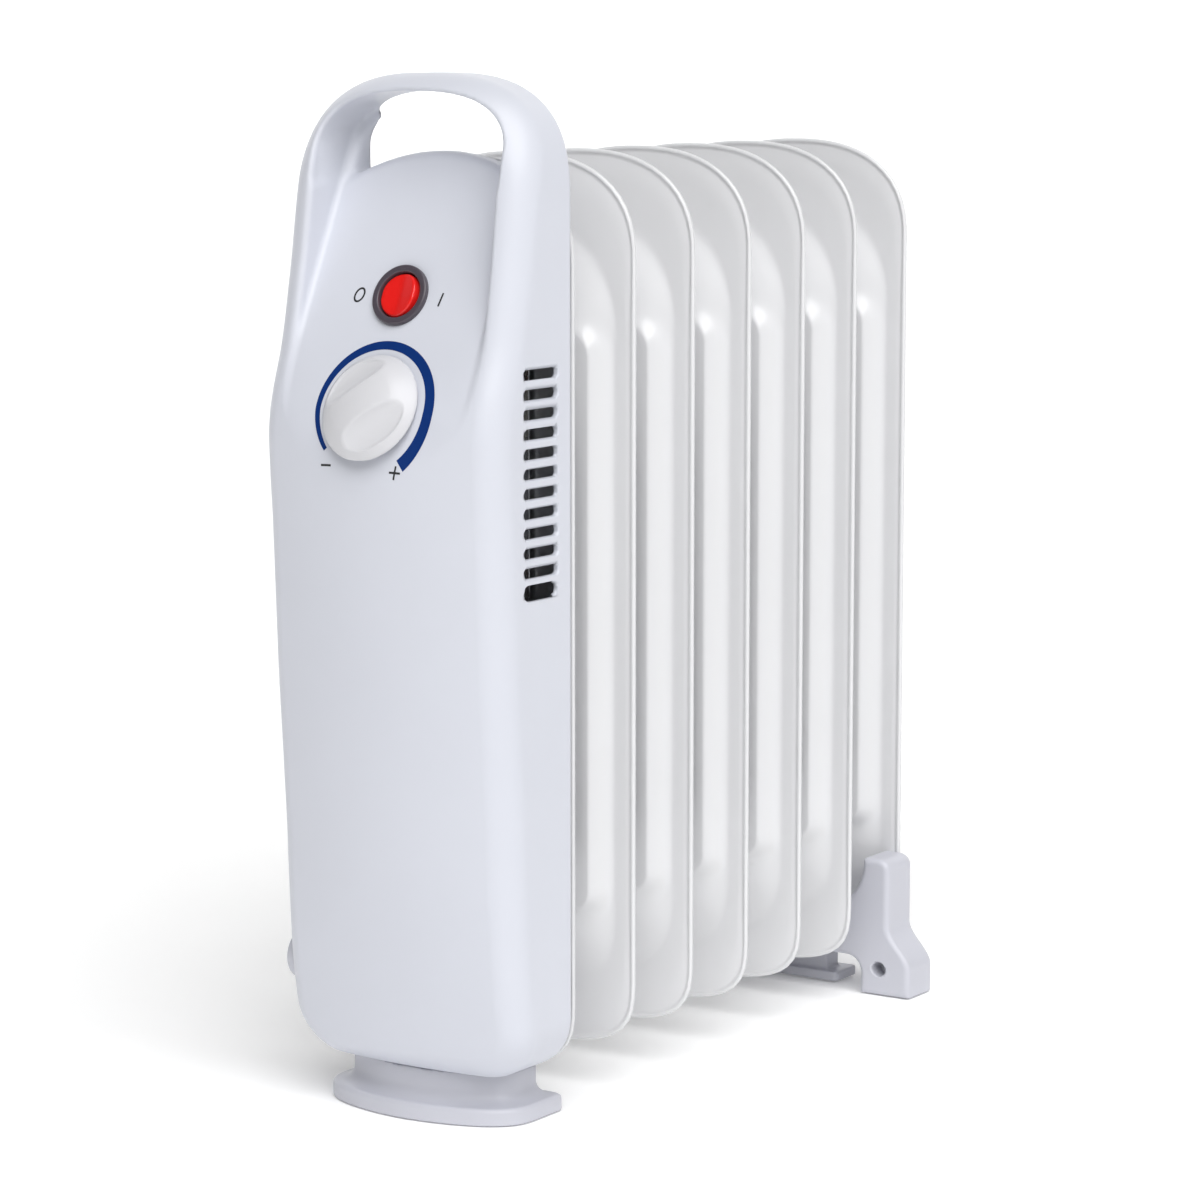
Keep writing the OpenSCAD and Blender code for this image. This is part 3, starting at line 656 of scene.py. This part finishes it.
def arc(centre, r, start, end, count):
    t = np.radians(np.linspace(start, end, count))
    return [(centre[0] + r * math.cos(a), centre[1] + r * math.sin(a)) for a in t]


def make_switch():
    """The bezel, (radius, height) points turned round the panel's normal."""
    rim = [(8.75, -1.5), *arc((9.35, 1.25), 0.6, 180, 90, 7), *arc((10.6, 1.0), 0.85, 90, 0, 9),
           (11.5, -0.4), (9.9, -0.6), (9.9, -9.0), (8.75, -9.0)]
    turn = np.linspace(0, 2 * math.pi, LATHE_SIDES, endpoint=False)
    rings = [panel_point(r * np.cos(turn), SWITCH_RISE + r * np.sin(turn), h) for r, h in rim]
    new_piece("switch_rim", np.concatenate(rings), turned_faces(len(rim), LATHE_SIDES),
              "dark_plastic", stands_for=["switch_bezel"])


def rocker_shape(x, y, z):
    """Round rocker, its face a shallow valley, leaning so that its left half is pressed in."""
    across, up, out = panel_coords(x, y, z)
    up = up - SWITCH_RISE
    rise = out - ROCKER_PIVOT
    a = across * math.cos(ROCKER_LEAN) + rise * math.sin(ROCKER_LEAN)
    h = rise * math.cos(ROCKER_LEAN) - across * math.sin(ROCKER_LEAN)
    side = smooth_max(np.hypot(a, up) - ROCKER_R, np.hypot(across, rise) - 8.45, 0.3)
    valley = (h - 1.75) - 0.176 * (np.sqrt(a ** 2 + 1.5) - 1.0)
    body = both(side, valley, 0.9)
    return both(body, -3.0 - h, 0.5)


def make_rocker():
    step = 0.33
    net_piece("rocker_cap", rocker_shape, panel_grid(8.6, -6.5, 4.5, SWITCH_RISE, step),
              "rocker_red", ROCKER, ["rocker"])


# ---------- fins ----------

FIN_W, FIN_TOP, FIN_LOW = 51.0, 348.4, 16.3
FIN_TOP_SPRING, FIN_LOW_SPRING = 310, 44.3
SPINE_LOW, SPINE_HIGH = 75.0, 275.0
PAD_OUT = 9.0
SHEET = 0.8
SEAM = 2.7
BEAD_R = 0.95
PORTS_Z = (298.0, 57.0)
NECK_R = 14.2
STUD_X, STUD_Z = 32.5, (110.0, 230.0)


def fin_outline(x, z):
    """Distance in X and Z to a fin's outline."""
    top = crown_distance(x, z - FIN_TOP_SPRING, FIN_W, FIN_TOP - FIN_TOP_SPRING, 2.4)
    low = crown_distance(x, FIN_LOW_SPRING - z, FIN_W, FIN_LOW_SPRING - FIN_LOW, 3.6)
    return np.where(z > 170, top, low)


def fin_rays():
    """Start and direction of each ray from the fin's spine to its rim, once round."""
    fan = np.radians(np.linspace(0, 180, 49))[1:-1]
    rise = spaced(SPINE_LOW, 3, 105, 9, 240, 3, SPINE_HIGH)
    starts = ([(0, z) for z in rise] + [(0, SPINE_HIGH)] * len(fan)
              + [(0, z) for z in rise[::-1]] + [(0, SPINE_LOW)] * len(fan))
    turns = ([0] * len(rise) + list(fan) + [math.pi] * len(rise) + list(fan + math.pi))
    return np.array(starts, float), np.array(turns)


def superellipse_reach(turn, half_w, high, high_n, low, low_n):
    """Reach of an oval with different upper and lower halves, along each turn."""
    c, s = np.abs(np.cos(turn)), np.abs(np.sin(turn))
    up = np.sin(turn) >= 0
    height, n = np.where(up, high, low), np.where(up, high_n, low_n)
    return ((c / half_w) ** n + (s / height) ** n) ** (-1 / n)


def pad_depth(x, z, share, steep):
    """How far the pressed sheet stands out, share being 0 at the pad's foot and 1 at its crest."""
    wall = smooth_step(np.clip(share, 0, 1) ** 1.35)
    ramp = np.sin(np.clip(np.sqrt(share ** 2 + 0.0016) - 0.04, 0, 1) * math.pi / 2)
    depth = SHEET + (PAD_OUT - SHEET) * (wall * steep + ramp * (1 - steep))
    pinch = smooth_step((36.5 - np.abs(x)) / 20) ** 1.1
    pinch = pinch * smooth_step((270 - z) / 52) * smooth_step((z - 80) / 24)
    depth = smooth_min(depth, PAD_OUT + 0.3 - 7.3 * pinch, 1.0)
    for port_z in PORTS_Z:
        r = np.hypot(x, z - port_z)
        depth = smooth_max(depth, PAD_OUT - 0.3 * np.maximum(r - 14.5, 0) ** 1.35, 0.8)
    return np.minimum(depth, PAD_OUT)


def fin_half(side):
    """Points and faces of one half: side -1 faces forward, 1 backward."""
    starts, turns = fin_rays()
    way = np.stack([np.cos(turns), np.sin(turns)], axis=1)
    low, high = np.zeros(len(turns)), np.full(len(turns), 90.0)
    for _ in range(40):
        mid = (low + high) / 2
        p = starts + way * mid[:, None]
        outside = fin_outline(p[:, 0], p[:, 1]) > 0
        low, high = np.where(outside, low, mid), np.where(outside, mid, high)
    rim = high
    foot = np.minimum(superellipse_reach(turns, 43.5, 48, 2.5, 42, 3.0), rim - 5)
    crest = superellipse_reach(turns, 35.5, 15, 2.0, 11, 2.0)
    steep = 1 - smooth_step((np.abs(np.sin(turns)) - 0.05) / 0.5)
    rings = []
    for t in np.radians(np.linspace(0, 150, 9)):
        p = starts + way * (rim + 0.2 - BEAD_R * (1 - math.cos(t)))[:, None]
        y = np.full(len(p), side * BEAD_R * math.sin(t))
        rings.append(np.column_stack([p[:, 0], y, p[:, 1]]))
    inner = rim - SEAM
    reach = [inner * (1 - t) + foot * t for t in (0, 0.33, 0.66, 0.9)]
    reach += [foot * (1 - t) + crest * t for t in np.linspace(0, 1, 19)]
    reach += [crest * (1 - t) for t in np.linspace(0, 1, 17)[1:]]
    for r in reach:
        p = starts + way * r[:, None]
        share = np.clip((foot - r) / (foot - crest), 0, 1)
        out = pad_depth(p[:, 0], p[:, 1], share, steep)
        fade = smooth_step((rim - SEAM - r) / 1.5)
        out = SHEET + (out - SHEET) * fade
        rings.append(np.column_stack([p[:, 0], side * out, p[:, 1]]))
    points = np.concatenate(rings)
    n = len(turns)
    faces = []
    for k in range(len(rings) - 1):
        for i in range(n):
            quad = (k * n + i, k * n + (i + 1) % n, (k + 1) * n + (i + 1) % n, (k + 1) * n + i)
            faces.append(quad if side < 0 else quad[::-1])
    back = tuple(range(n))
    faces.append(back[::-1] if side < 0 else back)
    return points, faces


def make_fins():
    for side, half in ((-1, "front"), (1, "rear")):
        points, faces = fin_half(side)
        first = new_piece(f"fin_sheet_1_{half}", points, faces, "fin_enamel",
                          stands_for=[f"fin_1_{half}"])
        weld(first)
        for k, y in enumerate(FIN_Y[1:], start=2):
            piece = bpy.data.objects.new(f"fin_sheet_{k}_{half}", first.data)
            piece.location = (0, y * MM, 0)
            bpy.context.scene.collection.objects.link(piece)
            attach(piece, ROOT)
            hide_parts(f"fin_{k}_{half}")


def tube_along_y(profile, centre_x, centre_z, sides=48):
    """Points and faces of (radius, y) turned round a line along Y."""
    turn = np.linspace(0, 2 * math.pi, sides, endpoint=False)
    points = np.concatenate([np.column_stack([
        centre_x + r * np.cos(turn), np.full(sides, y), centre_z + r * np.sin(turn)])
        for r, y in profile])
    return points, turned_faces(len(profile), sides)


def make_headers():
    """The necks between the fins: flared ends and a weld bead half way."""
    for name, port_z in (("upper_necks", PORTS_Z[0]), ("lower_necks", PORTS_Z[1])):
        parts = []
        for front, back in zip(FIN_Y[:-1], FIN_Y[1:]):
            mid = (front + back) / 2
            half = mid - front - PAD_OUT
            outside = [(NECK_R + 2.6 * (1 - t) ** 3, half * (1 - t))
                       for t in np.linspace(0, 0.85, 8)]
            bead = arc((NECK_R, 0), 0.8, 60, 0, 4)
            half_line = [(r, -y) for r, y in outside] + [(r, -h) for r, h in bead]
            line = half_line + [(r, -y) for r, y in half_line[:-1][::-1]]
            line = [(r, mid + y) for r, y in line]
            line += [(13.0, back - PAD_OUT), (13.0, front + PAD_OUT)]
            parts.append(tube_along_y(line, 0, port_z))
        weld(new_piece(name, *joined(parts), "fin_enamel",
                       stands_for=[name.replace("necks", "collars")]))


def make_studs():
    """The four studs of the first fin that hold the mounting plate."""
    line = [(0.01, -16), (1.7, -16), (2.0, -15.7), (2.0, -8.6), (0.01, -8.6)]
    parts = [tube_along_y(line, x, z, 16) for x in (-STUD_X, STUD_X) for z in STUD_Z]
    weld(new_piece("fin_studs", *joined(parts), "zinc_steel"))


# ---------- feet ----------

PLATE_TOP, NECK_TOP = 6.7, 17.95
SOLE = 0.4
PAD_HOLE_R, PAD_HOLE_TOP = 5.15, 2
LAST_Y = FIN_Y[-1]


def front_foot_shape(x, y, z):
    """A bowed plate under a neck, with holes for the four pads."""
    plate = smooth_max(np.abs(x) - 43.5, np.hypot(x, y - 41.5) - 80, 3)
    plate = smooth_max(plate, np.hypot(x, y - 4) - 50, 3)
    plate = smooth_max(plate, y - 4.5, 3)
    plate = both(plate, z - PLATE_TOP, 1.8)
    neck = smooth_max(np.abs(x) - 36, np.hypot(x, y - 30.6) - 61.8, 5)
    neck = smooth_max(neck, y + 1.2, 3)
    shape = smooth_min(plate, np.maximum(neck, z - NECK_TOP), 5.5)
    shape = np.maximum(shape, z - NECK_TOP)
    shape = both(shape, SOLE - z, 0.5)
    for px in (-33, 33):
        for py in (-20, -4):
            pad = np.maximum(np.hypot(x - px, y - py) - PAD_HOLE_R, z - PAD_HOLE_TOP)
            shape = np.maximum(shape, -pad)
    return shape


def make_front_foot():
    step = 0.9
    net_piece("front_foot_skin", front_foot_shape,
              (spaced(-45, step, 45), spaced(-41, step, 7), spaced(-0.8, step * 0.8, 19)),
              "foot_plastic", stands_for=["front_foot"])


def leg_outline(x, z, toe, side, top):
    """Distance in X and Z to the rear foot: straight upright, flared toe, round top."""
    edge = side + (toe - side) * smooth_step((29 - z) / 17)
    shape = both((np.abs(x) - edge) * 0.9, z - top, 4.5)
    shape = both(shape, SOLE - z, 1.0)
    cradle = crown_distance(x, 58.0 - z, 44.9, 27.0, 2.6)
    shape = both(shape, -cradle, 1.2)
    arch = both(np.abs(x) - 44, z - 15.5, 7)
    return both(shape, -arch, 0.8)


def fin_slot(x, y, z):
    """The slot that the last fin's rim sits in."""
    return np.maximum(fin_outline(x, z) - 0.3, np.abs(y - LAST_Y) - 0.9)


def rear_foot_front(x, y, z):
    body = both(leg_outline(x, z, 67, 57, 57), np.abs(y - LAST_Y + 10) - 10, 2.2)
    screw_hole = np.maximum(np.hypot(np.abs(x) - 52.8, z - 11.3) - 2.9, y - LAST_Y + 12)
    body = both(body, -screw_hole, 0.4)
    pad = np.maximum(np.hypot(np.abs(x) - 57, y - LAST_Y + 10) - PAD_HOLE_R, z - PAD_HOLE_TOP)
    return np.maximum(np.maximum(body, -pad), -fin_slot(x, y, z))


def rear_foot_back(x, y, z):
    body = both(leg_outline(x, z, 57, 49.5, 54), np.abs(y - LAST_Y - 5) - 5, 2.0)
    return np.maximum(body, -fin_slot(x, y, z))


def make_rear_foot():
    step = 0.9
    for name, shape, low, high in (("front", rear_foot_front, LAST_Y - 21, LAST_Y + 1),
                                   ("back", rear_foot_back, LAST_Y - 1, LAST_Y + 11)):
        net_piece(f"rear_foot_{name}_skin", shape,
                  (spaced(-69, step, 69), spaced(low, step, high), spaced(-0.8, step, 60)),
                  "foot_plastic", stands_for=[f"rear_foot_{name}"])


def hook_shape(x, y, z):
    """A plate on a neck, for winding the cord."""
    plate = both(np.abs(x) - 28, np.abs(y - LAST_Y + 2.5) - 8.5, 2.0)
    plate = both(plate, np.abs(z - 3) - 2, 0.8)
    neck = both(np.abs(x) - 22, np.abs(y - LAST_Y + 3.75) - 4.75, 1.0)
    neck = np.maximum(neck, np.abs(z - 10) - 5.45)
    return np.maximum(smooth_min(plate, neck, 1.6), np.abs(z - 8.2) - 7.25)


def make_hook():
    net_piece("cord_hook_skin", hook_shape,
              (spaced(-30, 0.8, 30), spaced(LAST_Y - 13, 0.7, LAST_Y + 8), spaced(0, 0.6, 17)),
              "foot_plastic", stands_for=["cord_hook"])


# ---------- CAD nodes that stay ----------

def dress_frame():
    """Each CAD node in its slot's material, but the gland as pale as the housing."""
    for name, node in frame["nodes"].items():
        node.data.materials.clear()
        look = "foot_plastic" if name == "cord_gland" else SLOT_OF[name]
        node.data.materials.append(MATERIALS[look])


make_camera()
make_world()
make_sun()
make_floor()
MATERIALS = make_materials()
dress_frame()
make_housing()
make_ring()
make_marks()
make_knob()
make_switch()
make_rocker()
make_fins()
make_headers()
make_studs()
make_front_foot()
make_rear_foot()
make_hook()
